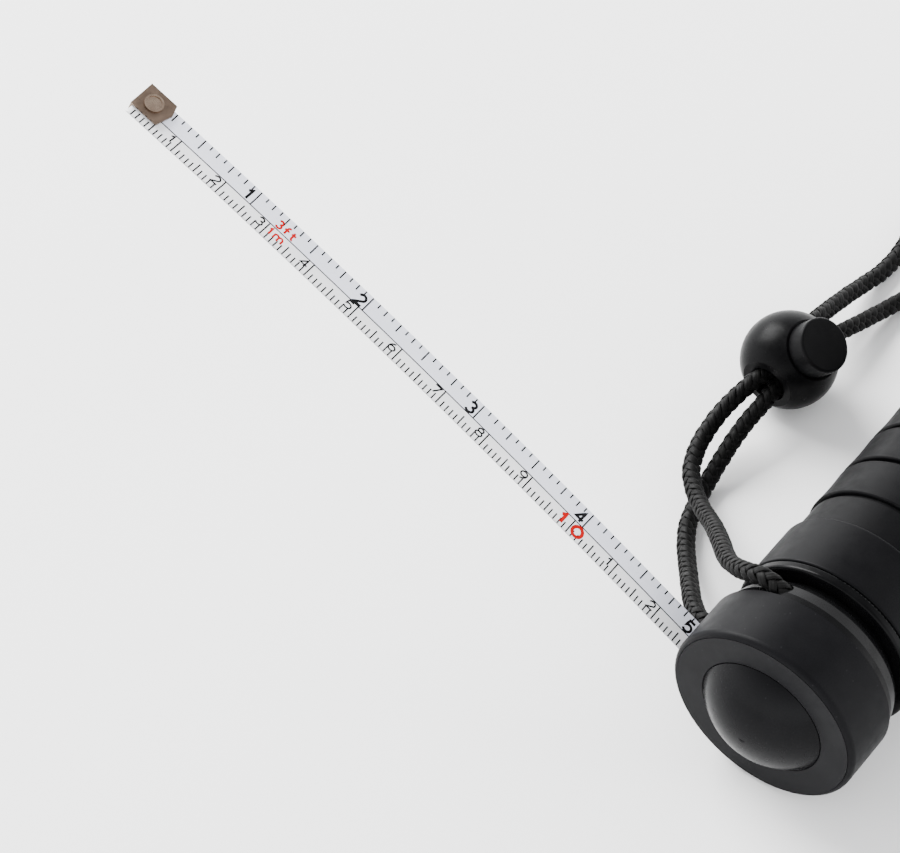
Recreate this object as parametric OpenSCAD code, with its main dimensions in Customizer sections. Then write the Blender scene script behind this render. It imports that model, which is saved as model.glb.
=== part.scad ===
// Retractable tape measure in the end cap of a round ribbed handle, with a wrist lanyard.
// The handle lies along Y. Its flat far end is at the origin, and the cap's front face looks
// along -Y. Clock angles are turned about the handle's axis from straight up towards +X.

/* [Handle] */
// Length of the whole handle, from the cap's front face to the flat end
handle_len = 112; // [96:1:160]
// Outer radius of the end cap and of the end plug
cap_r = 17.3; // [16.8:0.1:21]
// Depth of the end cap
cap_len = 11.2; // [11:0.1:14]
// Wall of the end cap
cap_wall = 1.7; // [1.2:0.1:2]
// Radius of the rounded edges of the cap and the plug
edge_r = 1.2; // [0.6:0.1:1.5]
// Radius of the smooth front section of the barrel
barrel_r = 16.55; // [16:0.05:18]
// Length of the smooth front section of the barrel
barrel_len = 11.2; // [8:0.1:16]
// Length of the neck between the cap and the barrel
neck_len = 8.8; // [8.6:0.1:11]
// Outer radius of the tube inside the grip
tube_r = 14.6; // [14.2:0.1:15]
// Wall of the tube inside the grip
tube_wall = 1.6; // [1:0.1:2]
// Visible length of the end plug
plug_len = 9; // [6:0.5:14]

/* [Grip] */
// Radius of the grip's ribs
rib_r = 16.2; // [15.9:0.05:17]
// Radius of the plain band in front of the ribs
band_r = 15.75; // [15.4:0.05:16]
// Length of the plain band
band_len = 6.5; // [4:0.5:10]
// Number of ribs
rib_count = 7; // [5:1:9]
// Depth of the groove in front of each rib
rib_groove = 0.9; // [0.4:0.1:1]

/* [Tape] */
// Width of the blade
tape_w = 6.3; // [5.4:0.1:6.3]
// Thickness of the blade
tape_t = 0.14; // [0.1:0.01:0.2]
// Whole length of the blade
tape_len = 1000; // [900:50:1100]
// Length of the blade pulled out of the mouth
tape_out = 128.5; // [40:0.5:200]
// Height of the blade's cross curve
tape_crown = 0.3; // [0.2:0.05:0.4]
// Angle of the blade above level at the mouth
tape_tilt = 30.4; // [26:0.1:34]
// Radius of the blade's droop
tape_bend_r = 1000; // [700:10:2000]
// Angle of the mouth below level
mouth_drop = 5; // [0:1:8]
// Distance of the blade's middle behind the cap's front face
tape_depth = 7; // [7:0.05:7.2]

/* [Button] */
// Radius of the retract button
button_r = 11.2; // [10:0.1:12]
// Height of the button's dome
dome_h = 5.6; // [4:0.1:6]
// Travel of the button
button_travel = 0.8; // [0.4:0.1:0.8]
// Thickness of the front cover
cover_t = 1.5; // [1:0.1:2]

/* [Lanyard] */
// Radius of the cord
cord_r = 1.6; // [1.2:0.1:1.6]
// Radius of the cord lock's ball
ball_r = 8.9; // [8.6:0.1:11]
// Radius of the cord lock's plunger
plunger_r = 5.1; // [4.6:0.1:5.3]
// Travel of the cord lock's plunger
plunger_travel = 2; // [1:0.1:2]

/* [Hidden] */
$fn = 96;
fit_gap = 0.05;                       // radial clearance of a running fit
slip_gap = 0.15;                      // clearance of a loose fit
over = 1;                             // how far a cutter runs past what it cuts

// Cap
seat_r = cap_r - 0.8;                 // the front cover's seat, whose rim shows as the seam
bore_r = cap_r - cap_wall;            // inside of the cap
cover_r = seat_r - 0.1;
button_gap = 0.08;                     // round the button in the cover's hole
button_hole_r = button_r + button_gap;
button_skirt = 1;                     // wall of the button's skirt
button_skin = 1.2;                    // thickness of the dome
dome_ball_r = (button_r * button_r + dome_h * dome_h) / (2 * dome_h);
dome_centre = dome_ball_r - dome_h;   // behind the front face
stem_r = 4.6;                         // stem behind the dome
stem_bore_r = 3.6;
washer_t = 0.4;
washer_d = tape_depth - tape_w / 2 - washer_t - slip_gap;
washer_r = 8.2;                       // hole of the guide washer

// Spool, with its depths counted from the cap's front face
coil_line_r = cap_r * sin(tape_tilt + mouth_drop);      // the blade's line passes this far from the axis
coil_r = coil_line_r - tape_crown - tape_t - 0.1;
coil_in_r = sqrt(coil_r * coil_r - (tape_len - tape_out) * tape_t / PI);
hub_wall = 0.8;
hub_front = tape_depth - tape_w / 2 - 0.13;
hub_back = tape_depth + tape_w / 2 + 0.1;
web_t = 0.85;
lip_d = hub_front + 0.7;              // friction lip inside the hub
lip_t = 0.7;
lip_r = stem_r + 0.4;
pad_r = coil_in_r - hub_wall - 0.3;   // brake pad behind the lip
pad_t = 0.85;
pad_d = lip_d + lip_t + fit_gap;
flange_t = 0.3;
flange_r = min(13, bore_r - 1);
boss_r = 3;
axle_r = 1.6;
axle_head_r = 3.4;
axle_head_t = 0.7;

// Neck
neck_front = hub_back + flange_t + 0.2;
neck_wall = 1.65;                     // wall between the spool and the drive spring
chamber_r = 11.6;
chamber_front = neck_front + neck_wall;
chamber_len = 5;
spring_cover_t = 1.2;
collar_len = 5.2;                     // rounded collar behind the cap
collar_front_r = cap_r - 0.5;
collar_back_r = cap_r - 1.9;
groove_r = tube_r - 1.2;              // floor of the neck's groove
groove_len = 1.7;
lip_outer_r = barrel_r - 0.05;
lip_edge_r = 0.6;
seam_gap = 0.2;                       // fine gap in front of the barrel
spigot_len = 8;
tube_in_r = tube_r - tube_wall;
cord_hole_r = cord_r + 0.2;
cord_hole_len = 4;
cord_hole_d = 13.4;

// Barrel and grip
barrel_front = cap_len + neck_len;
grip_front = barrel_front + barrel_len;
ribs_front = grip_front + band_len;
plug_front = handle_len - plug_len;
rib_pitch = (plug_front - ribs_front) / rib_count;
rib_groove_len = 0.9;
rib_edge_r = 0.45;
rib_waist = 0.15;                     // how far each rib sinks between its edges
plug_spigot = 11;
seal_r = 0.7;

// Blade. It leaves the mouth at tape_tilt and droops along a large arc.
mouth_clock = -90 - mouth_drop;
mouth = [cap_r * sin(mouth_clock), cap_r * cos(mouth_clock)];
bend_centre = mouth - tape_bend_r * [sin(tape_tilt), cos(tape_tilt)];
tape_in = sqrt(cap_r * cap_r - coil_line_r * coil_line_r);   // from the mouth in to the coil
crown_r = (tape_w * tape_w / 4 + tape_crown * tape_crown) / (2 * tape_crown);
slot_h = 1.3;
liner_wall = 0.35;
liner_len = 3.4;

// Hook
hook_t = 0.4;
hook_lift = tape_crown + tape_t / 2 + 0.02;
hook_len = 6;
hook_front = -1.45;                   // edges of the plate from the blade's middle
hook_back = 4;
hook_shift = (hook_front + hook_back) / 2;
fang_drop = 2.6;
rivet_s = 2.4;                        // from the zero end
rivet_r = 0.9;
rivet_head_r = 1.7;
rivet_head_t = 0.3;

// Cord lock
lock_at = [-42.5, 75, ball_r];
lock_tilt = 39;                       // of the plunger from straight up, towards +X
lock_flat = ball_r - 2;               // flat where the plunger sits
entry_flat = ball_r - 1.5;            // flats where the cord runs through
pair_r = 1.7;                         // half the distance between the two runs of cord
lock_hole_r = pair_r + cord_r + 0.3;
plunger_gap = 0.06;
plunger_foot = 3.2;                   // below the ball's middle
plunger_top = ball_r + 1.9;
plunger_pit = ball_r - 2.7;
slot_half = cord_r + 0.2;
upper_run = lock_at + pair_r * [-cos(lock_tilt), 0, sin(lock_tilt)];   // the cord inside the lock
lower_run = lock_at + pair_r * [cos(lock_tilt), 0, -sin(lock_tilt)];
run_half = [0, 5, 0];

// Spring wire
wire_r = 0.2;
button_spring_r = 2.7;
lock_spring_r = 2.8;
strip_t = 0.25;                       // drive spring's strip
strip_w = 4.2;
strip_turns = 5;

// The cord's route, as [x, distance behind the front face, height above the surface]
cord_route = [
    [-3.2, 13.4, 30.4], [-6.4, 13.4, 32.2], [-9.6, 13.6, 32.6], [-12.6, 14.2, 31], [-16, 16, 28],
    [-20, 19.5, 24], [-25, 25.5, 19], [-30.5, 32, 13], [-36, 37.5, 8], [-40.6, 42, 5.6],
    [-43.8, 46, 5], [-45.6, 50.5, 5.2], [-46.2, 55, 6.2], [-45.8, 60, 8], [-44.6, 65.5, 9.6],
    upper_run - run_half, upper_run + run_half, [-44, 86, 9], [-44.4, 92, 6.8], [-44.6, 98, 4.6],
    [-44.4, 104, 2.8], [-43.8, 110, 1.8], [-44, 117, 1.6], [-45.6, 125, 1.6], [-47, 133, 1.6],
    [-46.5, 141, 1.6], [-43, 148, 1.6], [-36.5, 152, 1.6], [-30, 149, 1.6], [-26.5, 142, 1.6],
    [-26.5, 134, 1.6], [-29, 126, 1.6], [-32.5, 118, 1.6], [-36, 109, 1.6], [-38, 101, 2.6],
    [-39, 94, 4.6], [-40, 87, 6.8], lower_run + run_half, lower_run - run_half, [-41.2, 64.5, 7.4],
    [-41.6, 59, 6], [-41.6, 53.5, 4], [-41.2, 48, 2.2], [-40.2, 42.5, 1.6], [-38.6, 37.5, 1.6],
    [-36, 33, 2.4], [-32.4, 28, 4.4], [-28.4, 22.5, 7.6], [-24.6, 17.5, 10.6], [-20.8, 14, 12.8],
    [-16.6, 13.4, 14.1], [-12.8, 13.4, 15.2]];
cord_points = [for (p = cord_route) [p[0], p[1] - handle_len, p[2] - cap_r]];

// Depth of the dome's inside at a radius, from the cap's front face
function depth_in_dome(r) = dome_centre - sqrt(pow(dome_ball_r - button_skin, 2) - r * r);
function unit(v) = v / norm(v);
function way(p, i) = unit(p[min(i + 1, len(p) - 1)] - p[max(i - 1, 0)]);
function ring(c, t, r, n) = let (s = unit(cross(t, [0, 0, 1])), u = cross(s, t))
    [for (k = [0:n - 1]) c + r * (cos(360 * k / n) * s + sin(360 * k / n) * u)];
function helix(r, len, turns, steps) =
    [for (i = [0:turns * steps])
        [r * cos(360 * i / steps), r * sin(360 * i / steps), len * i / (turns * steps)]];
function spiral(r0, r1, turns, steps) =
    [for (i = [0:turns * steps]) let (r = r0 + (r1 - r0) * i / (turns * steps))
        [r * cos(360 * i / steps), r * sin(360 * i / steps)]];

// A round tube swept along the points p
module sweep(p, r, n = 8) {
    m = len(p);
    points = [for (i = [0:m - 1]) each ring(p[i], way(p, i), r, n)];
    sides = [for (i = [0:m - 2], k = [0:n - 1]) let (a = i * n + k, b = i * n + (k + 1) % n)
        each [[a, b, b + n], [a, b + n, a + n]]];
    polyhedron(points, concat(sides,
        [[for (k = [0:n - 1]) n - 1 - k]], [[for (k = [0:n - 1]) (m - 1) * n + k]]));
}

// Puts a shape that is turned about Z on the handle's axis, d behind the front face
module on_axis(d = 0) translate([0, d - handle_len, 0]) rotate([-90, 0, 0]) children();
module at_clock(a) rotate([0, a, 0]) children();

// A solid ring between two radii and two depths
module disc_ring(r_in, r_out, d0, d1) on_axis(d0) difference() {
    cylinder(r = r_out, h = d1 - d0);
    translate([0, 0, -over]) cylinder(r = r_in, h = d1 - d0 + 2 * over);
}

// What is left of a square corner of size e once it is rounded
module corner_cut(e) difference() {
    square([e + over, e + over]);
    circle(r = e);
}

// Puts a shape on the blade, q out of the mouth along it: +X runs along the blade, +Z is its normal
module on_tape(q) {
    a = tape_tilt - q / tape_bend_r * 180 / PI;
    translate([bend_centre[0] + tape_bend_r * sin(a), tape_depth - handle_len,
        bend_centre[1] + tape_bend_r * cos(a)]) rotate([0, a, 0]) children();
}

module cap_shell() color("#2b2b2d") difference() {
    on_axis() rotate_extrude() difference() {
        translate([bore_r, 0]) square([cap_wall, cap_len]);
        translate([bore_r - over, -over]) square([seat_r - bore_r + over, cover_t + over]);
        translate([cap_r - edge_r, edge_r]) mirror([0, 1]) corner_cut(edge_r);
    }
    on_tape(0) translate([0, 0, tape_crown / 2])
        cube([4 * cap_wall + liner_len, tape_w + 0.4 + 2 * liner_wall, slot_h + 2 * liner_wall],
            center = true);
}

module front_cover() color("#343436") on_axis() rotate_extrude() difference() {
    translate([button_hole_r, 0]) square([cover_r - button_hole_r, cover_t]);
    translate([button_hole_r + 0.2, 0.2]) mirror([1, 1]) corner_cut(0.2);
}

module mouth_liner() color("#1d1d1f") intersection() {
    on_tape(0) translate([0, 0, tape_crown / 2]) difference() {
        cube([4 * cap_wall, tape_w + 0.4 + 2 * liner_wall, slot_h + 2 * liner_wall], center = true);
        cube([4 * cap_wall + over, tape_w + 0.4, slot_h], center = true);
    }
    disc_ring(bore_r, cap_r + 0.25, 0, cap_len);
}

module guide_washer() color("silver") disc_ring(washer_r, bore_r, washer_d, washer_d + washer_t);

module button() color("#303032") on_axis() rotate_extrude() {
    intersection() {
        translate([0, dome_centre]) difference() {
            circle(r = dome_ball_r, $fn = 180);
            circle(r = dome_ball_r - button_skin, $fn = 180);
        }
        translate([0, -dome_h]) square([button_r, dome_h]);
    }
    translate([button_r - button_skirt, 0]) square([button_skirt, cover_t + 0.9]);
    stem_top = depth_in_dome(stem_r) - 0.4;
    translate([stem_bore_r, stem_top]) square([stem_r - stem_bore_r, pad_d + pad_t - stem_top]);
}

module brake_pad() color("#4a3b34") disc_ring(stem_r, pad_r, pad_d, pad_d + pad_t);

module button_spring() color("silver") {
    start = depth_in_dome(button_spring_r + wire_r) + wire_r + 0.05;
    stop = hub_back - web_t - axle_head_t - slip_gap - wire_r - 0.02;
    on_axis(start) sweep(helix(button_spring_r, stop - start, 5, 16), wire_r, 6);
}

module spool() color("#d8d8d2") on_axis() difference() {
    union() {
        translate([0, 0, hub_front]) cylinder(r = coil_in_r, h = hub_back - hub_front);
        cylinder(r = boss_r, h = chamber_front + chamber_len - slip_gap);
    }
    translate([0, 0, -over]) cylinder(r = lip_r, h = hub_back - web_t + over);
    translate([0, 0, lip_d + lip_t]) cylinder(r = coil_in_r - hub_wall, h = hub_back - web_t - lip_d - lip_t);
    translate([0, 0, -over]) cylinder(r = coil_in_r - hub_wall, h = lip_d + over);
    translate([0, 0, -over]) cylinder(r = axle_r + fit_gap, h = handle_len);
}

module spool_flange() color("#c9c9c4") disc_ring(boss_r, flange_r, hub_back, hub_back + flange_t);

module tape_coil() color("#e9eae8")
    disc_ring(coil_in_r, coil_r, tape_depth - tape_w / 2, tape_depth + tape_w / 2);

module axle() color("silver") on_axis() {
    head = hub_back - web_t - slip_gap - axle_head_t;
    translate([0, 0, head]) cylinder(r = axle_head_r, h = axle_head_t);
    translate([0, 0, head]) cylinder(r = axle_r, h = chamber_front + chamber_len + spring_cover_t - head);
}

module drive_spring() color("#8f959b") {
    inner = spiral(boss_r + 0.1, chamber_r - 0.1 - strip_t, strip_turns, 20);
    outer = spiral(boss_r + 0.1 + strip_t, chamber_r - 0.1, strip_turns, 20);
    on_axis(chamber_front + (chamber_len - strip_w) / 2) linear_extrude(strip_w)
        polygon(concat(inner, [for (i = [len(outer) - 1:-1:0]) outer[i]]));
}

module spring_cover() color("silver")
    disc_ring(axle_r, chamber_r, chamber_front + chamber_len, chamber_front + chamber_len + spring_cover_t);

// One blind socket for an end of the cord
module cord_socket(mouth_point, inner_point) {
    along = inner_point - mouth_point;
    turn = atan2(along[0], along[2]);
    translate(inner_point) rotate([0, turn + 180, 0]) cylinder(r = cord_hole_r, h = cord_hole_len + 6);
}

module neck() color("#242426") difference() {
    on_axis() rotate_extrude() difference() {
        union() {
            translate([0, neck_front]) square([bore_r, cap_len - neck_front]);
            polygon([[0, cap_len], [collar_front_r, cap_len], [collar_front_r - 0.2, cap_len + 1.6],
                [collar_back_r + 0.5, cap_len + collar_len - 1.4], [collar_back_r, cap_len + collar_len - 0.4],
                [collar_back_r - 0.4, cap_len + collar_len], [0, cap_len + collar_len]]);
            square([groove_r, barrel_front - seam_gap]);
            difference() {
                translate([0, cap_len + collar_len + groove_len])
                    square([lip_outer_r, neck_len - collar_len - groove_len - seam_gap]);
                translate([lip_outer_r - lip_edge_r, cap_len + collar_len + groove_len + lip_edge_r])
                    mirror([0, 1]) corner_cut(lip_edge_r);
                translate([lip_outer_r - 0.3, barrel_front - seam_gap - 0.3]) corner_cut(0.3);
            }
            square([tube_in_r, barrel_front + spigot_len]);
        }
        translate([-over, -over]) square([boss_r + 0.3 + over, handle_len]);
        translate([-over, -over]) square([handle_len, neck_front + over]);
        translate([-over, chamber_front]) square([chamber_r + over, handle_len]);
    }
    cord_socket(cord_points[1], cord_points[0]);
    cord_socket(cord_points[len(cord_points) - 2], cord_points[len(cord_points) - 1]);
}

module barrel_sleeve() color("#2e2e31") on_axis(barrel_front) rotate_extrude() difference() {
    translate([tube_r, 0]) square([barrel_r - tube_r, barrel_len]);
    translate([barrel_r - 0.35, 0.35]) mirror([0, 1]) corner_cut(0.35);
    translate([barrel_r - 0.6, barrel_len - 0.6]) corner_cut(0.6);
}

module handle_tube() color("dimgray") disc_ring(tube_in_r, tube_r, barrel_front - seam_gap, plug_front);

module grip() color("#2a2a2d") on_axis() rotate_extrude() {
    floor_r = rib_r - rib_groove;
    waist_r = pow(rib_pitch - rib_groove_len, 2) / (8 * rib_waist) + rib_waist / 2;
    translate([tube_r, grip_front]) square([floor_r - tube_r, plug_front - grip_front]);
    translate([tube_r, grip_front]) square([band_r - tube_r, band_len]);
    for (i = [0:rib_count - 1]) translate([0, ribs_front + i * rib_pitch + rib_groove_len]) difference() {
        rib_len = rib_pitch - rib_groove_len;
        translate([tube_r, 0]) square([rib_r - tube_r, rib_len]);
        translate([rib_r - rib_waist + waist_r, rib_len / 2]) circle(r = waist_r, $fn = 180);
        translate([rib_r - rib_edge_r, rib_edge_r]) mirror([0, 1]) corner_cut(rib_edge_r);
        translate([rib_r - rib_edge_r, rib_len - rib_edge_r]) corner_cut(rib_edge_r);
    }
}

module end_plug() color("#2b2b2d") on_axis(plug_front) rotate_extrude() difference() {
    union() {
        square([cap_r, plug_len]);
        translate([0, -plug_spigot]) square([tube_in_r, plug_spigot + over]);
    }
    translate([cap_r - edge_r, plug_len - edge_r]) corner_cut(edge_r);
    translate([cap_r - 0.5, 0.5]) mirror([0, 1]) corner_cut(0.5);
    translate([tube_in_r - seal_r, -plug_spigot / 2]) circle(r = seal_r, $fn = 48);
    translate([tube_in_r - seal_r, -plug_spigot / 2 - seal_r]) square([seal_r + over, 2 * seal_r]);
    translate([-over, -plug_spigot - over]) square([tube_in_r - 2 * seal_r - 1.6 + over, plug_spigot + over]);
}

module plug_seal() color("#111111") on_axis(plug_front - plug_spigot / 2) rotate_extrude()
    translate([tube_in_r - seal_r, 0]) circle(r = seal_r, $fn = 48);

module tape_blade() color("#f4f5f6") difference() {
    out_a = tape_out / tape_bend_r * 180 / PI;
    in_a = tape_in / tape_bend_r * 180 / PI;
    translate([bend_centre[0], tape_depth - handle_len, bend_centre[1]]) rotate([-90, 0, 0])
        rotate([0, 0, tape_tilt - out_a - 90]) rotate_extrude(angle = out_a + in_a, $fn = 720)
            translate([tape_bend_r + crown_r, 0]) intersection() {
                difference() {
                    circle(r = crown_r + tape_t / 2, $fn = 360);
                    circle(r = crown_r - tape_t / 2, $fn = 360);
                }
                translate([-2 * crown_r, -tape_w / 2]) square([2 * crown_r, tape_w]);
            }
    on_tape(tape_out - rivet_s) translate([0, hook_shift, -over]) cylinder(r = rivet_r + fit_gap, h = 2 * over);
}

module hook() color("#9a8b82") on_tape(tape_out) difference() {
    union() {
        translate([0, 0, hook_lift]) linear_extrude(hook_t) polygon([[-hook_t, hook_front],
            [hook_len - 0.8, hook_front], [hook_len, hook_back - 2.1], [hook_len - 0.7, hook_back],
            [-hook_t, hook_back]]);
        translate([-hook_t, hook_front, hook_lift + hook_t - fang_drop - hook_t])
            cube([hook_t, hook_back - hook_front, fang_drop + hook_t]);
    }
    translate([rivet_s, hook_shift, -over]) cylinder(r = rivet_r + fit_gap, h = 3 * over);
}

module hook_rivet() color("#8a7a70") on_tape(tape_out) translate([rivet_s, hook_shift, 0]) {
    top = hook_lift + hook_t;
    foot = -tape_t / 2 - 0.02;
    translate([0, 0, foot - rivet_head_t]) cylinder(r = rivet_r, h = top - foot + rivet_head_t);
    translate([0, 0, top]) difference() {
        cylinder(r = rivet_head_r, h = rivet_head_t);
        translate([0, 0, rivet_head_t - 0.14]) cylinder(r = rivet_head_r - 0.35, h = over);
    }
    translate([0, 0, foot - rivet_head_t]) cylinder(r = rivet_head_r - 0.3, h = rivet_head_t);
}

module lanyard() color("#1b1b1c") sweep(cord_points, cord_r, 8);

module at_lock() translate([lock_at[0], lock_at[1] - handle_len, lock_at[2] - cap_r])
    rotate([0, lock_tilt, 0]) children();

module lock_body() color("#262627") at_lock() difference() {
    sphere(r = ball_r);
    translate([-ball_r, -ball_r, lock_flat]) cube(2 * ball_r);
    for (side = [-1, 1]) translate([0, side * (entry_flat + ball_r), 0]) cube(2 * ball_r, center = true);
    translate([0, 0, -plunger_pit]) cylinder(r = plunger_r + plunger_gap, h = 3 * ball_r);
    rotate([90, 0, 0]) cylinder(r = lock_hole_r, h = 3 * ball_r, center = true);
}

module lock_plunger() color("#202021") at_lock() difference() {
    rotate_extrude() difference() {
        translate([0, -plunger_foot]) square([plunger_r, plunger_foot + plunger_top]);
        translate([plunger_r - 0.5, plunger_top - 0.5]) corner_cut(0.5);
    }
    translate([-pair_r - slot_half, -ball_r, -slot_half])
        cube([2 * (pair_r + slot_half), 2 * ball_r, 2 * slot_half + plunger_travel]);
}

module lock_spring() color("silver") at_lock() translate([0, 0, -plunger_pit + wire_r + 0.02])
    sweep(helix(lock_spring_r, plunger_pit - plunger_foot - 2 * wire_r - 0.04, 2, 16), wire_r, 6);

cap_shell();
front_cover();
mouth_liner();
guide_washer();
button();
brake_pad();
button_spring();
spool();
spool_flange();
tape_coil();
axle();
drive_spring();
spring_cover();
neck();
barrel_sleeve();
handle_tube();
grip();
end_plug();
plug_seal();
tape_blade();
hook();
hook_rivet();
lanyard();
lock_body();
lock_plunger();
lock_spring();
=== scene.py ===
"""A pull-out tape measure in the end cap of a ribbed handle, with a braided wrist lanyard.

The CAD model is the frame. It keeps every rigid part, and each of them gets its finish here.
This script adds the printed blade and the braided cord in place of their plain CAD solids.
Sizes are in millimetres where a name ends in _MM, and in metres otherwise.
"""
import math
import random

import bpy
import numpy as np
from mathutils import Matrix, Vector


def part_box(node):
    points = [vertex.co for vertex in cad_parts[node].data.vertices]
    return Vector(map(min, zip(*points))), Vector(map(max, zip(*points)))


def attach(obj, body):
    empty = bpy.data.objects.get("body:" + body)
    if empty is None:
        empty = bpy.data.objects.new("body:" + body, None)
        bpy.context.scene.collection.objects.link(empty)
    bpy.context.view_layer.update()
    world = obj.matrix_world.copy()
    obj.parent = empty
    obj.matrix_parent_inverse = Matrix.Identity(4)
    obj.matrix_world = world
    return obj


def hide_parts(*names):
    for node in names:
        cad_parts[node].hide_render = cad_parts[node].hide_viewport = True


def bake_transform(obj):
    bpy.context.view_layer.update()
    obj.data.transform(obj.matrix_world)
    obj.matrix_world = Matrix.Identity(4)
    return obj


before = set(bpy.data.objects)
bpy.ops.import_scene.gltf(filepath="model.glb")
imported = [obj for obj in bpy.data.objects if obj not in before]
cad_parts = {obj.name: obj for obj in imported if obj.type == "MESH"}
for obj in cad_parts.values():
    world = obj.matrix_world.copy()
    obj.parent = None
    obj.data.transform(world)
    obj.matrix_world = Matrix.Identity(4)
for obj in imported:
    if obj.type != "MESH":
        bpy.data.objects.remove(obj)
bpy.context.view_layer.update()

MM = 0.001
FLOOR_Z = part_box("cap_shell")[0].z
CAP_R_MM = -FLOOR_Z / MM
FRONT_Y_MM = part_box("front_cover")[0].y / MM

# Camera: a long lens above and to the right of the cap, at the photograph's angle
CAMERA_AT = Vector((0.1607, -0.4117, 0.4550))
CAMERA_AIM = Vector((-0.0864, -0.0798, -0.0173))
LENS_MM = 140
SENSOR_MM = 36

# Light: one soft key from the left, in a tent with bright walls and a dim ceiling
KEY_AT = (-1.15, 0.15, 0.85)
KEY_AIM = (-0.03, -0.06, 0)
KEY_SIDE = 0.9
KEY_WATTS = 75
WALL_STRENGTH = 4.9
CEILING_STRENGTH = 1.0
WALL_TOP = 0.25                       # how high the walls reach, as the sine of the angle up
CEILING_START = 0.72
FLOOR_HALF = 3.0

# Blade, as the CAD has it
TAPE_W_MM = 6.3
TAPE_T_MM = 0.14
TAPE_CROWN_MM = 0.3
TAPE_OUT_MM = 128.5
TAPE_IN_MM = 14
TAPE_BEND_R_MM = 1000
TAPE_TILT = math.radians(30.4)
MOUTH_CLOCK = math.radians(-95)
TAPE_Y_MM = FRONT_Y_MM + 7

# Cord: the CAD's route, as (x, distance behind the cap's front face, height above the surface)
CORD_ROUTE_MM = [
    (-3.2, 13.4, 30.4), (-6.4, 13.4, 32.2), (-9.6, 13.6, 32.6), (-12.6, 14.2, 31), (-16, 16, 28),
    (-20, 19.5, 24), (-25, 25.5, 19), (-30.5, 32, 13), (-36, 37.5, 8), (-40.6, 42, 5.6),
    (-43.8, 46, 5), (-45.6, 50.5, 5.2), (-46.2, 55, 6.2), (-45.8, 60, 8), (-44.6, 65.5, 9.6),
    (-43.82, 70, 9.97), (-43.82, 80, 9.97), (-44, 86, 9), (-44.4, 92, 6.8), (-44.6, 98, 4.6),
    (-44.4, 104, 2.8), (-43.8, 110, 1.8), (-44, 117, 1.6), (-45.6, 125, 1.6), (-47, 133, 1.6),
    (-46.5, 141, 1.6), (-43, 148, 1.6), (-36.5, 152, 1.6), (-30, 149, 1.6), (-26.5, 142, 1.6),
    (-26.5, 134, 1.6), (-29, 126, 1.6), (-32.5, 118, 1.6), (-36, 109, 1.6), (-38, 101, 2.6),
    (-39, 94, 4.6), (-40, 87, 6.8), (-41.18, 80, 7.83), (-41.18, 70, 7.83), (-41.2, 64.5, 7.4),
    (-41.6, 59, 6), (-41.6, 53.5, 4), (-41.2, 48, 2.2), (-40.2, 42.5, 1.6), (-38.6, 37.5, 1.6),
    (-36, 33, 2.4), (-32.4, 28, 4.4), (-28.4, 22.5, 7.6), (-24.6, 17.5, 10.6), (-20.8, 14, 12.8),
    (-16.6, 13.4, 14.1), (-12.8, 13.4, 15.2)]


# ---------------------------------------------------------------- small helpers

def new_object(name, data):
    """An object of that name and data, linked to the scene."""
    obj = bpy.data.objects.new(name, data)
    bpy.context.scene.collection.objects.link(obj)
    return obj


def mesh_object(name, points, faces, materials=(), material_of=None, smooth=True):
    """A mesh object from points in metres and faces, with one material index for each face."""
    mesh = bpy.data.meshes.new(name)
    mesh.from_pydata([tuple(p) for p in points], [], faces)
    for material in materials:
        mesh.materials.append(material)
    if material_of is not None:
        mesh.polygons.foreach_set("material_index", material_of)
    mesh.polygons.foreach_set("use_smooth", [smooth] * len(faces))
    mesh.update()
    return new_object(name, mesh)


# ---------------------------------------------------------------- camera, light and floor

def make_camera():
    data = bpy.data.cameras.new("camera")
    data.lens = LENS_MM
    data.sensor_fit = "HORIZONTAL"
    data.sensor_width = SENSOR_MM
    data.clip_start = 0.01
    camera = new_object("camera", data)
    camera.location = CAMERA_AT
    camera.rotation_euler = (CAMERA_AIM - CAMERA_AT).to_track_quat("-Z", "Y").to_euler()
    bpy.context.scene.camera = camera


def make_lights():
    data = bpy.data.lights.new("key_light", "AREA")
    data.shape = "SQUARE"
    data.size = KEY_SIDE
    data.energy = KEY_WATTS
    light = new_object("key_light", data)
    light.location = KEY_AT
    light.rotation_euler = (Vector(KEY_AIM) - Vector(KEY_AT)).to_track_quat("-Z", "Y").to_euler()
    world = bpy.data.worlds.new("studio")
    world.use_nodes = True
    nodes, links = world.node_tree.nodes, world.node_tree.links
    direction = nodes.new("ShaderNodeSeparateXYZ")
    links.new(nodes.new("ShaderNodeTexCoord").outputs["Generated"], direction.inputs["Vector"])
    # The ceiling is dim so that the tops of dark parts stay dark
    strength = spread(nodes, links, direction.outputs["Z"], WALL_STRENGTH, CEILING_STRENGTH,
                      WALL_TOP, CEILING_START)
    links.new(strength, nodes["Background"].inputs["Strength"])
    nodes["Background"].inputs["Color"].default_value = (0.98, 0.985, 1, 1)
    bpy.context.scene.world = world


def make_floor():
    paper = finish("floor_paper", (0.92, 0.92, 0.915), (0.94, 0.94, 0.935), 0.6, 0.7,
                   patch=12, grain=900, grain_depth=0.00002)
    corners = [(FLOOR_HALF * x, FLOOR_HALF * y, FLOOR_Z) for x, y in ((-1, -1), (1, -1), (1, 1), (-1, 1))]
    mesh_object("floor", corners, [(0, 1, 2, 3)], [paper], smooth=False)


# ---------------------------------------------------------------- finishes

def node_tree(name):
    material = bpy.data.materials.new(name)
    material.use_nodes = True
    return material, material.node_tree.nodes, material.node_tree.links


def noise(nodes, links, scale, detail, source):
    """A noise texture's value at the source's coordinates, where scale is in 1/m."""
    texture = nodes.new("ShaderNodeTexNoise")
    texture.inputs["Scale"].default_value = scale
    texture.inputs["Detail"].default_value = detail
    links.new(source, texture.inputs["Vector"])
    return texture.outputs["Fac"]


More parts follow.
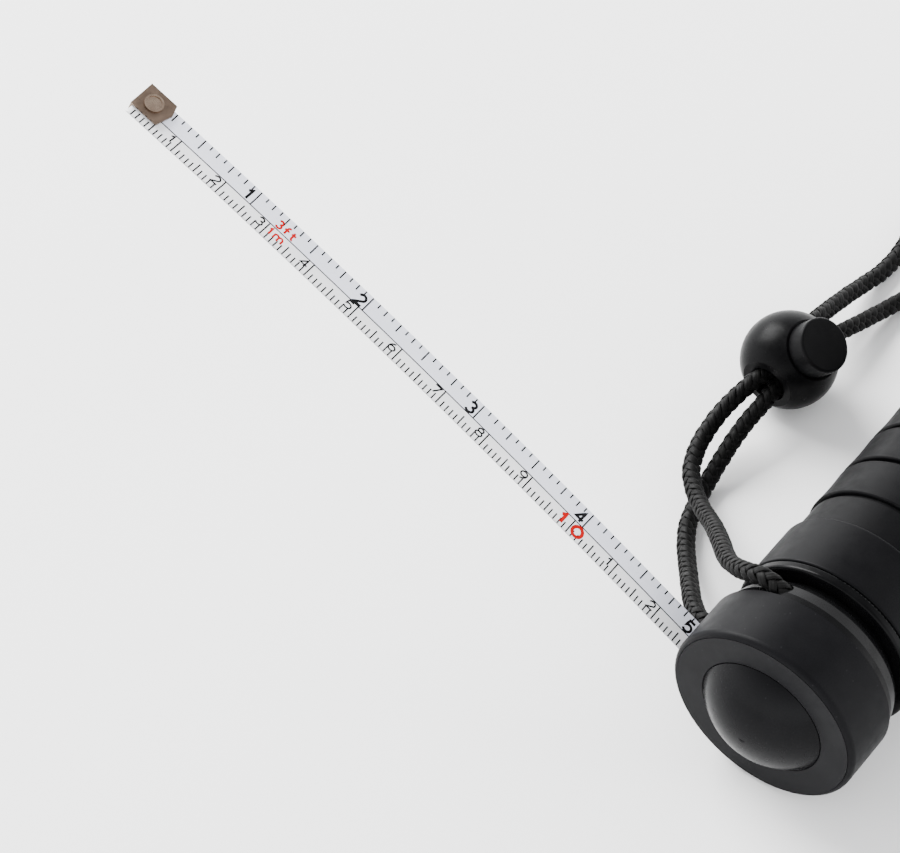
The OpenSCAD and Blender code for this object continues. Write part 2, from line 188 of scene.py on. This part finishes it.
def spread(nodes, links, value, low, high, start=0.3, end=0.7):
    """Maps a value between start and end to the range low to high."""
    node = nodes.new("ShaderNodeMapRange")
    node.inputs["From Min"].default_value = start
    node.inputs["From Max"].default_value = end
    node.inputs["To Min"].default_value = low
    node.inputs["To Max"].default_value = high
    links.new(value, node.inputs["Value"])
    return node.outputs["Result"]


def between(nodes, links, value, dark, light, start=0.35, end=0.65):
    """A colour between two, by a value."""
    ramp = nodes.new("ShaderNodeValToRGB")
    ramp.color_ramp.elements[0].position = start
    ramp.color_ramp.elements[1].position = end
    ramp.color_ramp.elements[0].color = (*dark, 1)
    ramp.color_ramp.elements[1].color = (*light, 1)
    links.new(value, ramp.inputs["Fac"])
    return ramp.outputs["Color"]


def raise_bumps(nodes, links, heights, shader):
    """Chains bump nodes, each from a height value and its depth in metres, into the shader."""
    normal = None
    for value, depth in heights:
        bump = nodes.new("ShaderNodeBump")
        bump.inputs["Strength"].default_value = 1
        bump.inputs["Distance"].default_value = depth
        links.new(value, bump.inputs["Height"])
        if normal:
            links.new(normal, bump.inputs["Normal"])
        normal = bump.outputs["Normal"]
    links.new(normal, shader.inputs["Normal"])


SPECKS_PER_GRAIN = 0.12               # scale of the specks against the grain's
SPECK_STRENGTH = 0.35                 # how far a speck's middle takes its own colour


def finish(name, dark, light, smooth, rough, patch=160, grain=5000, grain_depth=0.000004,
           metallic=0.0, specular=0.035, coat=0.0, coat_rough=0.2, specks=None, stretch=None):
    """A procedural finish: broad colour patches, uneven gloss, a fine grain and, where specks is
    a colour, a sprinkle of tiny marks. stretch draws the grain out along an axis. patch and grain
    are noise scales in 1/m, and grain_depth is in metres."""
    material, nodes, links = node_tree(name)
    shader = nodes["Principled BSDF"]
    shader.inputs["Metallic"].default_value = metallic
    shader.inputs["Specular IOR Level"].default_value = specular
    shader.inputs["Coat Weight"].default_value = coat
    shader.inputs["Coat Roughness"].default_value = coat_rough
    source = nodes.new("ShaderNodeTexCoord").outputs["Object"]
    drawn = source
    if stretch:
        mapping = nodes.new("ShaderNodeMapping")
        mapping.inputs["Scale"].default_value = stretch
        links.new(source, mapping.inputs["Vector"])
        drawn = mapping.outputs["Vector"]
    broad = noise(nodes, links, patch, 4, source)
    fine = noise(nodes, links, grain, 2, drawn)
    colour = between(nodes, links, broad, dark, light)
    if specks:
        dots = nodes.new("ShaderNodeTexVoronoi")
        dots.inputs["Scale"].default_value = grain * SPECKS_PER_GRAIN
        links.new(source, dots.inputs["Vector"])
        near = spread(nodes, links, dots.outputs["Distance"], SPECK_STRENGTH, 0, 0.04, 0.09)
        mix = nodes.new("ShaderNodeMix")
        mix.data_type = "RGBA"
        links.new(near, mix.inputs["Factor"])
        # A colour mix has its two colours on sockets 6 and 7, and its result on socket 2
        links.new(colour, mix.inputs[6])
        mix.inputs[7].default_value = (*specks, 1)
        colour = mix.outputs[2]
    links.new(colour, shader.inputs["Base Color"])
    links.new(spread(nodes, links, noise(nodes, links, patch * 3, 5, source), smooth, rough),
              shader.inputs["Roughness"])
    raise_bumps(nodes, links, [(fine, grain_depth)], shader)
    return material


def cord_finish():
    """Black polyester yarn: fine fibres along each strand, with a soft sheen."""
    material, nodes, links = node_tree("cord_yarn")
    shader = nodes["Principled BSDF"]
    shader.inputs["Sheen Weight"].default_value = 0.01
    shader.inputs["Sheen Roughness"].default_value = 0.45
    shader.inputs["Specular IOR Level"].default_value = 0.08
    source = nodes.new("ShaderNodeTexCoord").outputs["Object"]
    along = nodes.new("ShaderNodeAttribute")
    along.attribute_name = "yarn"
    mapping = nodes.new("ShaderNodeMapping")
    mapping.inputs["Scale"].default_value = (40, 1500, 1)
    links.new(along.outputs["Vector"], mapping.inputs["Vector"])
    fibres = noise(nodes, links, 1.6, 3, mapping.outputs["Vector"])
    colour = between(nodes, links, fibres, (0.0006, 0.0006, 0.0006), (0.004, 0.0039, 0.0037), 0.3, 0.75)
    links.new(colour, shader.inputs["Base Color"])
    gloss = spread(nodes, links, noise(nodes, links, 700, 3, source), 0.5, 0.72)
    links.new(gloss, shader.inputs["Roughness"])
    fuzz = noise(nodes, links, 6000, 2, source)
    raise_bumps(nodes, links, [(fibres, 0.00005), (fuzz, 0.00002)], shader)
    return material


def coil_finish():
    """The wound blade seen from its edge: thin rings of white enamel, with painted shade in the gaps
    between the turns.
    """
    material, nodes, links = node_tree("tape_wound")
    shader = nodes["Principled BSDF"]
    shader.inputs["Roughness"].default_value = 0.4
    source = nodes.new("ShaderNodeTexCoord").outputs["Object"]
    rings = nodes.new("ShaderNodeTexWave")
    rings.wave_type = "RINGS"
    rings.rings_direction = "Y"
    rings.inputs["Scale"].default_value = 1100
    rings.inputs["Distortion"].default_value = 0.4
    links.new(source, rings.inputs["Vector"])
    # The darker colour is painted shade for the gaps between the turns
    colour = between(nodes, links, rings.outputs["Fac"], (0.25, 0.25, 0.26), (0.80, 0.81, 0.83), 0.1, 0.4)
    links.new(colour, shader.inputs["Base Color"])
    raise_bumps(nodes, links, [(rings.outputs["Fac"], 0.00003)], shader)
    return material


def enamel(name, colour, shade):
    """Baked enamel on thin steel: nearly even, a little orange peel and a soft gloss."""
    return finish(name, shade, colour, 0.24, 0.36, patch=70, grain=2600, grain_depth=0.0000025,
                  specular=0.4, coat=0.15, coat_rough=0.15)


def ink(name, colour, faded):
    """Printed ink, a little uneven in colour and gloss."""
    return finish(name, colour, faded, 0.4, 0.55, patch=1800, grain=9000, grain_depth=0.000003)


def assign(material, *nodes):
    """Puts a finish on carried-over CAD nodes."""
    for node in nodes:
        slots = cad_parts[node].data.materials
        slots.clear()
        slots.append(material)


def dress_cad_nodes():
    """One finish for every CAD node that stays."""
    soft = finish("soft_black", (0.0034, 0.0034, 0.0039), (0.0046, 0.0046, 0.0052), 0.38, 0.47,
                  grain=5200, grain_depth=0.0000055, specks=(0.03, 0.03, 0.032))
    # The front cover is the cap's black plastic made lighter: painted reflection of the white floor in
    # front of it
    face = finish("face_black_painted_reflection", (0.0062, 0.0062, 0.0068), (0.0080, 0.0080, 0.0087), 0.36, 0.44,
                  grain=5200, grain_depth=0.000004, specks=(0.03, 0.03, 0.032))
    dome = finish("dome_black", (0.0028, 0.0028, 0.0032), (0.0038, 0.0038, 0.0043), 0.22, 0.29,
                  specular=0.05, grain=5200, grain_depth=0.000003, specks=(0.025, 0.025, 0.027))
    gloss = finish("gloss_black", (0.002, 0.002, 0.0022), (0.003, 0.003, 0.0032), 0.16, 0.27,
                   patch=240, grain=2400, grain_depth=0.000003, specular=0.045)
    satin = finish("satin_black", (0.0026, 0.0026, 0.003), (0.0036, 0.0036, 0.004), 0.34, 0.45,
                   grain=4600, grain_depth=0.000006)
    rubber = finish("grip_black", (0.0024, 0.0024, 0.0027), (0.0034, 0.0034, 0.0037), 0.38, 0.52,
                    grain=3600, grain_depth=0.000008)
    lock = finish("lock_black", (0.002, 0.002, 0.0022), (0.003, 0.003, 0.0032), 0.26, 0.38,
                  patch=300, grain=4200, grain_depth=0.000007)
    plunger = finish("plunger_black", (0.0026, 0.0026, 0.0028), (0.0036, 0.0036, 0.0039), 0.30, 0.42,
                     patch=300, grain=4200, grain_depth=0.000006)
    nickel = finish("hook_nickel", (0.15, 0.108, 0.08), (0.19, 0.138, 0.105), 0.26, 0.42, patch=420,
                    grain=2600, grain_depth=0.000008, metallic=1.0, stretch=(1, 0.15, 1))
    rivet = finish("rivet_nickel", (0.26, 0.19, 0.145), (0.33, 0.25, 0.19), 0.22, 0.34, patch=700,
                   grain=3000, grain_depth=0.00001, metallic=1.0)
    steel = finish("steel", (0.42, 0.42, 0.43), (0.56, 0.56, 0.57), 0.22, 0.36, patch=500,
                   grain=3200, grain_depth=0.000004, metallic=1.0)
    spring = finish("spring_steel", (0.16, 0.17, 0.19), (0.30, 0.31, 0.33), 0.28, 0.40, patch=600,
                    grain=4000, grain_depth=0.000004, metallic=1.0)
    nylon = finish("white_nylon", (0.66, 0.66, 0.62), (0.74, 0.74, 0.70), 0.42, 0.55, patch=200,
                   grain=4200, grain_depth=0.000006)
    pad = finish("brake_cork", (0.09, 0.055, 0.038), (0.17, 0.11, 0.075), 0.75, 0.9, patch=1500,
                 grain=4200, grain_depth=0.00004)
    seal = finish("seal_rubber", (0.008, 0.008, 0.008), (0.014, 0.014, 0.014), 0.5, 0.65,
                  grain=5200, grain_depth=0.000006)
    tube = finish("tube_alloy", (0.30, 0.30, 0.31), (0.40, 0.40, 0.41), 0.30, 0.44, patch=260,
                  grain=3200, grain_depth=0.000005, metallic=1.0, stretch=(1, 0.1, 1))
    assign(soft, "cap_shell")
    assign(face, "front_cover")
    assign(dome, "button")
    assign(gloss, "neck", "mouth_liner")
    assign(satin, "barrel_sleeve", "end_plug")
    assign(rubber, "grip")
    assign(lock, "lock_body")
    assign(plunger, "lock_plunger")
    assign(nickel, "hook")
    assign(rivet, "hook_rivet")
    assign(steel, "guide_washer", "axle", "spring_cover")
    assign(spring, "button_spring", "drive_spring", "lock_spring")
    assign(nylon, "spool", "spool_flange")
    assign(pad, "brake_pad")
    assign(seal, "plug_seal")
    assign(tube, "handle_tube")
    assign(coil_finish(), "tape_coil")


# ---------------------------------------------------------------- the braided cord

STRANDS_EACH_WAY = 4
BRAID_PITCH_MM = 7.6
STRAND_HALF_W_MM = 0.69
STRAND_HALF_T_MM = 0.27
WEAVE_MM = 0.28                       # how far a strand dives under the ones it crosses
STEP_MM = 0.4
CORE_R_MM = 0.78
CORE_SIDES = 8
BRAID_R_MM = 1.72                     # crest of the strands; the cord measures less over its hollows
SEED = 7
STEPS_PER_SPAN = 24                   # between two points of the route

# Slow waves along each strand, so that no two lie alike: size, and mm of cord for one radian
TURN_WAVE = (0.05, 9.0)
RADIUS_WAVE = (0.03, 5.3)
WIDTH_WAVE = (0.06, 3.7)


def smooth_route(points, step):
    """Points spaced evenly along a smooth curve through the route."""
    p = np.array([points[0], *points, points[-1]], float)
    spans = []
    for i in range(1, len(p) - 2):
        t = np.linspace(0, 1, STEPS_PER_SPAN, endpoint=False)[:, None]
        a, b, c, d = p[i - 1], p[i], p[i + 1], p[i + 2]
        spans.append(0.5 * (2 * b + (c - a) * t + (2 * a - 5 * b + 4 * c - d) * t ** 2
                            + (3 * b - a - 3 * c + d) * t ** 3))
    dense = np.vstack([*spans, p[-1:]])
    far = np.concatenate([[0], np.cumsum(np.linalg.norm(np.diff(dense, axis=0), axis=1))])
    at = np.linspace(0, far[-1], int(far[-1] / step) + 1)
    return np.stack([np.interp(at, far, dense[:, k]) for k in range(3)], 1), at


def carried_frames(line):
    """Tangents along a line, and two normals that are carried along it without twisting."""
    tangent = np.gradient(line, axis=0)
    tangent /= np.linalg.norm(tangent, axis=1)[:, None]
    side = np.zeros_like(line)
    start = np.cross(tangent[0], (0, 0, 1))
    side[0] = start / np.linalg.norm(start)
    for i in range(1, len(line)):
        carried = side[i - 1] - tangent[i] * (side[i - 1] @ tangent[i])
        side[i] = carried / np.linalg.norm(carried)
    return tangent, side, np.cross(tangent, side)


def strand_section():
    """A strand's outline, as (across, out): three rounded yarns side by side on a flat back."""
    top = []
    for x in np.linspace(-1, 1, 10):
        lobes = 1 - 0.22 * abs(math.cos(1.5 * math.pi * x))
        top.append((STRAND_HALF_W_MM * x, STRAND_HALF_T_MM * math.sqrt(1 - 0.93 * x * x) * lobes))
    back = 0.6 * STRAND_HALF_W_MM
    return top + [(back, -STRAND_HALF_T_MM), (-back, -STRAND_HALF_T_MM)]


def dive(way, k, crossing):
    """How high strand k rides, from -1 to 1, where crossing counts the strands it has met. It
    goes over two and under two, and the strands of the other way do the opposite."""
    if way > 0:
        return np.cos(2 * math.pi * (crossing + 2 * k - 0.5) / 4)
    return -np.cos(2 * math.pi * (2 * k - crossing - 0.5) / 4)


def wave(at, phase, size, length):
    return size * np.sin(at / length + phase)


def loft(rings, faces_from):
    """Faces of a tube through rings of equal length, closed at both ends. faces_from is the
    number of the first ring's first point."""
    count, sides = rings.shape[:2]
    faces = []
    for i in range(count - 1):
        for k in range(sides):
            a, b = faces_from + i * sides + k, faces_from + i * sides + (k + 1) % sides
            faces.append((a, b, b + sides, a + sides))
    faces.append(tuple(faces_from + k for k in reversed(range(sides))))
    faces.append(tuple(faces_from + (count - 1) * sides + k for k in range(sides)))
    return faces


def braid_cord():
    """Eight strands in a two-over, two-under braid round a core, along the CAD's route."""
    line, at = smooth_route([(x, FRONT_Y_MM + d, h - CAP_R_MM) for x, d, h in CORD_ROUTE_MM], STEP_MM)
    tangent, side, up = carried_frames(line)
    across_mm, out_mm = np.array(strand_section()).T
    lay_r = BRAID_R_MM - WEAVE_MM - STRAND_HALF_T_MM
    crossing = 2 * STRANDS_EACH_WAY * at / BRAID_PITCH_MM
    draw = random.Random(SEED)
    points, faces, yarn = [], [], []
    for way in (1, -1):
        for k in range(STRANDS_EACH_WAY):
            phase = draw.uniform(0, 6.28)
            turn = way * 2 * math.pi * at / BRAID_PITCH_MM + 2 * math.pi * k / STRANDS_EACH_WAY
            turn = turn + wave(at, phase, *TURN_WAVE)
            radius = lay_r + WEAVE_MM * dive(way, k, crossing) + wave(at, 2 * phase, *RADIUS_WAVE)
            width = 1 + wave(at, phase, *WIDTH_WAVE)
            out = np.cos(turn)[:, None] * side + np.sin(turn)[:, None] * up
            sideways = -np.sin(turn)[:, None] * side + np.cos(turn)[:, None] * up
            along = tangent + way * (2 * math.pi * radius / BRAID_PITCH_MM)[:, None] * sideways
            along /= np.linalg.norm(along, axis=1)[:, None]
            across = np.cross(along, out)
            centre = line + radius[:, None] * out
            ring = (centre[:, None, :] + np.outer(width, across_mm)[:, :, None] * across[:, None, :]
                    + out_mm[None, :, None] * out[:, None, :])
            faces += loft(ring, len(points))
            points += [tuple(p) for p in (ring.reshape(-1, 3) * MM)]
            yarn += [(far * MM, x * MM, k + 0.5 * way) for far in at for x in across_mm]
    angles = np.linspace(0, 2 * math.pi, CORE_SIDES, endpoint=False)
    core = np.stack([line + CORE_R_MM * (math.cos(a) * side + math.sin(a) * up) for a in angles], 1)
    faces += loft(core, len(points))
    points += [tuple(p) for p in (core.reshape(-1, 3) * MM)]
    yarn += [(0, 0, 2 * STRANDS_EACH_WAY + 1)] * (len(core) * CORE_SIDES)
    cord = mesh_object("braided_cord", points, faces, [cord_finish()])
    cord.data.attributes.new("yarn", "FLOAT_VECTOR", "POINT").data.foreach_set(
        "vector", np.array(yarn, np.float32).ravel())
    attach(cord, "root")
    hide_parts("lanyard")


# ---------------------------------------------------------------- the printed blade

CROWN_R_MM = (TAPE_W_MM ** 2 / 4 + TAPE_CROWN_MM ** 2) / (2 * TAPE_CROWN_MM)
INK_LIFT_MM = 0.012
INCH_MM = 25.4
BLADE_CUTS = 14                       # strips across the blade, an even number
BLADE_ROWS = 190
MM_SIDE, INCH_SIDE, EDGE = 0, 1, 2    # material slots of the blade


def on_blade(e, v, lift=0.0, under=False):
    """The point e mm from the blade's zero end and v mm from its middle towards the inch edge,
    on its upper face, or on its lower face where under is true."""
    a = TAPE_TILT - (TAPE_OUT_MM - e) / TAPE_BEND_R_MM
    skin = CROWN_R_MM + (TAPE_T_MM / 2 if under else -TAPE_T_MM / 2 - lift)
    r = TAPE_BEND_R_MM + CROWN_R_MM - math.sqrt(skin ** 2 - v ** 2)
    x = CAP_R_MM * math.sin(MOUTH_CLOCK) - TAPE_BEND_R_MM * math.sin(TAPE_TILT) + r * math.sin(a)
    z = CAP_R_MM * math.cos(MOUTH_CLOCK) - TAPE_BEND_R_MM * math.cos(TAPE_TILT) + r * math.cos(a)
    return (x * MM, (TAPE_Y_MM + v) * MM, z * MM)


def bend_with_slide(piece):
    """Bakes the piece's placement into its points; it is not tied to the handle or to the hook."""
    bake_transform(piece)


def make_blade():
    """The thin crowned strip, in rows across it: enamel on both faces, bare steel at its edges."""
    across = [TAPE_W_MM * (k / BLADE_CUTS - 0.5) for k in range(BLADE_CUTS + 1)]
    points = []
    for e in np.linspace(0, TAPE_OUT_MM + TAPE_IN_MM, BLADE_ROWS):
        points += [on_blade(e, v) for v in across] + [on_blade(e, v, under=True) for v in reversed(across)]
    ring = 2 * (BLADE_CUTS + 1)
    faces, kind = [], []
    for i in range(BLADE_ROWS - 1):
        for k in range(ring):
            a, b = i * ring + k, i * ring + (k + 1) % ring
            faces.append((a, a + ring, b + ring, b))
            if k in (BLADE_CUTS, ring - 1):
                kind.append(EDGE)
            else:
                kind.append(INCH_SIDE if BLADE_CUTS / 2 <= k < BLADE_CUTS else MM_SIDE)
    faces += [tuple(range(ring)), tuple(reversed(range(len(points) - ring, len(points))))]
    kind += [EDGE, EDGE]
    white = enamel("enamel_white", (0.80, 0.80, 0.81), (0.76, 0.76, 0.775))
    inch_side = enamel("enamel_cool", (0.73, 0.745, 0.82), (0.69, 0.705, 0.79))
    edge = finish("blade_edge", (0.35, 0.35, 0.36), (0.5, 0.5, 0.51), 0.3, 0.45, metallic=0.9)
    blade = mesh_object("printed_blade", points, faces, [white, inch_side, edge], kind)
    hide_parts("tape_blade")
    bend_with_slide(blade)


def arc(x, y, rx, ry, start, end):
    """Points along an arc, in degrees."""
    steps = max(3, int(abs(end - start) / 18))
    turn = [math.radians(start + (end - start) * i / steps) for i in range(steps + 1)]
    return [(x + rx * math.cos(t), y + ry * math.sin(t)) for t in turn]


MITRE_LIMIT = 2                       # how far a corner may reach, in half widths of its stroke
INK_STEP_MM = 0.35                    # longest straight step of a stroke on the curved blade

# Strokes of each character in a box one wide and one high
GLYPHS = {
    "0": [arc(0.5, 0.5, 0.42, 0.5, 0, 360)],
    "1": [[(0.22, 0.76), (0.55, 1.0), (0.55, 0.0)]],
    "2": [arc(0.48, 0.70, 0.38, 0.30, 165, -40) + [(0.08, 0.0), (0.92, 0.0)]],
    "3": [arc(0.46, 0.76, 0.34, 0.24, 155, -90), arc(0.46, 0.27, 0.40, 0.27, 90, -155)],
    "4": [[(0.66, 0.0), (0.66, 1.0), (0.06, 0.28), (0.94, 0.28)]],
    "5": [[(0.82, 1.0), (0.22, 1.0), (0.14, 0.52)] + arc(0.46, 0.33, 0.42, 0.33, 130, -150)],
    "6": [arc(0.5, 0.31, 0.40, 0.31, 0, 360), arc(0.82, 0.34, 0.72, 0.66, 178, 105)],
    "7": [[(0.08, 1.0), (0.90, 1.0), (0.36, 0.0)]],
    "8": [arc(0.5, 0.76, 0.32, 0.24, 0, 360), arc(0.5, 0.27, 0.41, 0.27, 0, 360)],
    "9": [arc(0.5, 0.69, 0.40, 0.31, 0, 360), arc(0.18, 0.66, 0.72, 0.66, -2, -75)],
    "f": [arc(0.80, 0.76, 0.34, 0.26, 80, 180) + [(0.46, 0.0)], [(0.12, 0.60), (0.90, 0.60)]],
    "t": [[(0.42, 1.0)] + arc(0.64, 0.20, 0.22, 0.20, 180, 290), [(0.12, 0.66), (0.82, 0.66)]],
    "m": [[(0.08, 0.0), (0.08, 0.68)], arc(0.29, 0.44, 0.21, 0.24, 180, 0) + [(0.5, 0.0)],
          arc(0.71, 0.44, 0.21, 0.24, 180, 0) + [(0.92, 0.0)]],
}


def ribbon(stroke, half):
    """Quads of a stroke of even width with mitred corners, in the blade's flat coordinates. No
    two points in a row may be the same."""
    p = np.array(stroke, float)
    step = np.diff(p, axis=0)
    step /= np.linalg.norm(step, axis=1)[:, None]
    before, after = np.vstack([step[:1], step]), np.vstack([step, step[-1:]])
    if np.allclose(p[0], p[-1]):
        before[0], after[-1] = step[-1], step[0]
    middle = before + after
    middle /= np.linalg.norm(middle, axis=1)[:, None]
    normal = np.stack([-middle[:, 1], middle[:, 0]], 1)
    stretch = 1 / np.maximum(1 / MITRE_LIMIT, (middle * before).sum(1))[:, None]
    left, right = p + normal * half * stretch, p - normal * half * stretch
    return [(left[i], right[i], right[i + 1], left[i + 1]) for i in range(len(p) - 1)]


def cut_fine(stroke):
    """The stroke with extra points, so that it follows the blade's curve."""
    out = [stroke[0]]
    for a, b in zip(stroke, stroke[1:]):
        n = max(1, math.ceil(math.dist(a, b) / INK_STEP_MM))
        out += [(a[0] + (b[0] - a[0]) * i / n, a[1] + (b[1] - a[1]) * i / n) for i in range(1, n + 1)]
    return out


def lettering(text, e, v, width, height, half, gap=0.3, slant=0.0):
    """Quads of a line of text that starts e mm from the zero end with its foot at v."""
    quads = []
    for i, letter in enumerate(text):
        start = e + i * (width + gap)
        for stroke in GLYPHS[letter]:
            placed = [(start + x * width + slant * y * height, v + y * height) for x, y in stroke]
            quads += ribbon(cut_fine(placed), half)
    return quads


# Tick lengths in mm, each with the step that it marks: millimetres, then sixteenths of an inch
MM_TICKS = ((10, 3.05), (5, 2.2), (1, 1.5))
INCH_TICKS = ((16, 3.05), (8, 2.1), (4, 1.6), (2, 1.1), (1, 0.85))
TICK_HALF_MM = 0.13
PRINT_MARGIN_MM = 0.04                # bare enamel beyond the ticks
MIDDLE_LINE_V_MM = 0.02
MIDDLE_LINE_HALF_MM = 0.10
CM_START_MM, CM_FOOT_MM = -2.2, -1.78  # a figure's start along the blade from its mark, and its foot
INCH_START_MM, INCH_FOOT_MM = -2.3, 0.30
CM_FIGURE = {"width": 1.6, "height": 1.55, "half": 0.15, "slant": 0.05}
INCH_FIGURE = {"width": 1.8, "height": 2.0, "half": 0.235, "slant": 0.05}
RED_TEN = {"height": 2.0, "half": 0.31}


def tick(e, edge, inward):
    """Quads of a tick from an edge of the blade towards its middle."""
    return ribbon(cut_fine([(e, edge), (e, edge + inward)]), TICK_HALF_MM)


def tick_length(count, table):
    """The length of a tick, by the first step in the table that divides its number."""
    return next(length for step, length in table if count % step == 0)


def ink_piece(name, quads, material):
    """A piece of print just above the blade's upper face."""
    points, faces = [], []
    for quad in quads:
        faces.append(tuple(range(len(points), len(points) + 4)))
        points += [on_blade(e, v, INK_LIFT_MM) for e, v in quad]
    piece = mesh_object(name, points, faces, [material])
    bend_with_slide(piece)


def print_scale():
    """Millimetres along the near edge, sixteenths of an inch along the far edge, and figures."""
    edge = TAPE_W_MM / 2 - PRINT_MARGIN_MM
    end = TAPE_OUT_MM + 2
    black = []
    for mm in range(1, int(end)):
        black += tick(mm, -edge, tick_length(mm, MM_TICKS))
    for k in range(1, int(end / INCH_MM * 16)):
        black += tick(k * INCH_MM / 16, edge, -tick_length(k, INCH_TICKS))
    black += ribbon([(e, MIDDLE_LINE_V_MM) for e in np.arange(0.5, end, 0.7)], MIDDLE_LINE_HALF_MM)
    for cm in (1, 2, 3, 4, 5, 6, 7, 8, 9, 11, 12):
        black += lettering(str(cm % 10), cm * 10 + CM_START_MM, CM_FOOT_MM, **CM_FIGURE)
    for inch in range(1, 6):
        black += lettering(str(inch), inch * INCH_MM + INCH_START_MM, INCH_FOOT_MM, **INCH_FIGURE)
    ink_piece("scale_print", black, ink("ink_black", (0.003, 0.003, 0.0035), (0.009, 0.009, 0.01)))
    red = lettering("1", 97.2, -2.35, width=2.0, **RED_TEN)
    red += lettering("0", 100.35, -2.35, width=2.3, **RED_TEN)
    red += lettering("3ft", 30.7, 0.36, 1.25, 1.45, 0.19, gap=0.22)
    red += lettering("1", 30.4, -1.8, 1.1, 1.4, 0.19)
    red += lettering("m", 31.75, -1.8, 2.0, 1.6, 0.18)
    ink_piece("scale_print_red", red, ink("ink_red", (0.34, 0.0, 0.0015), (0.40, 0.0015, 0.003)))


# ---------------------------------------------------------------- the scene

make_camera()
make_lights()
make_floor()
braid_cord()
make_blade()
print_scale()
dress_cad_nodes()
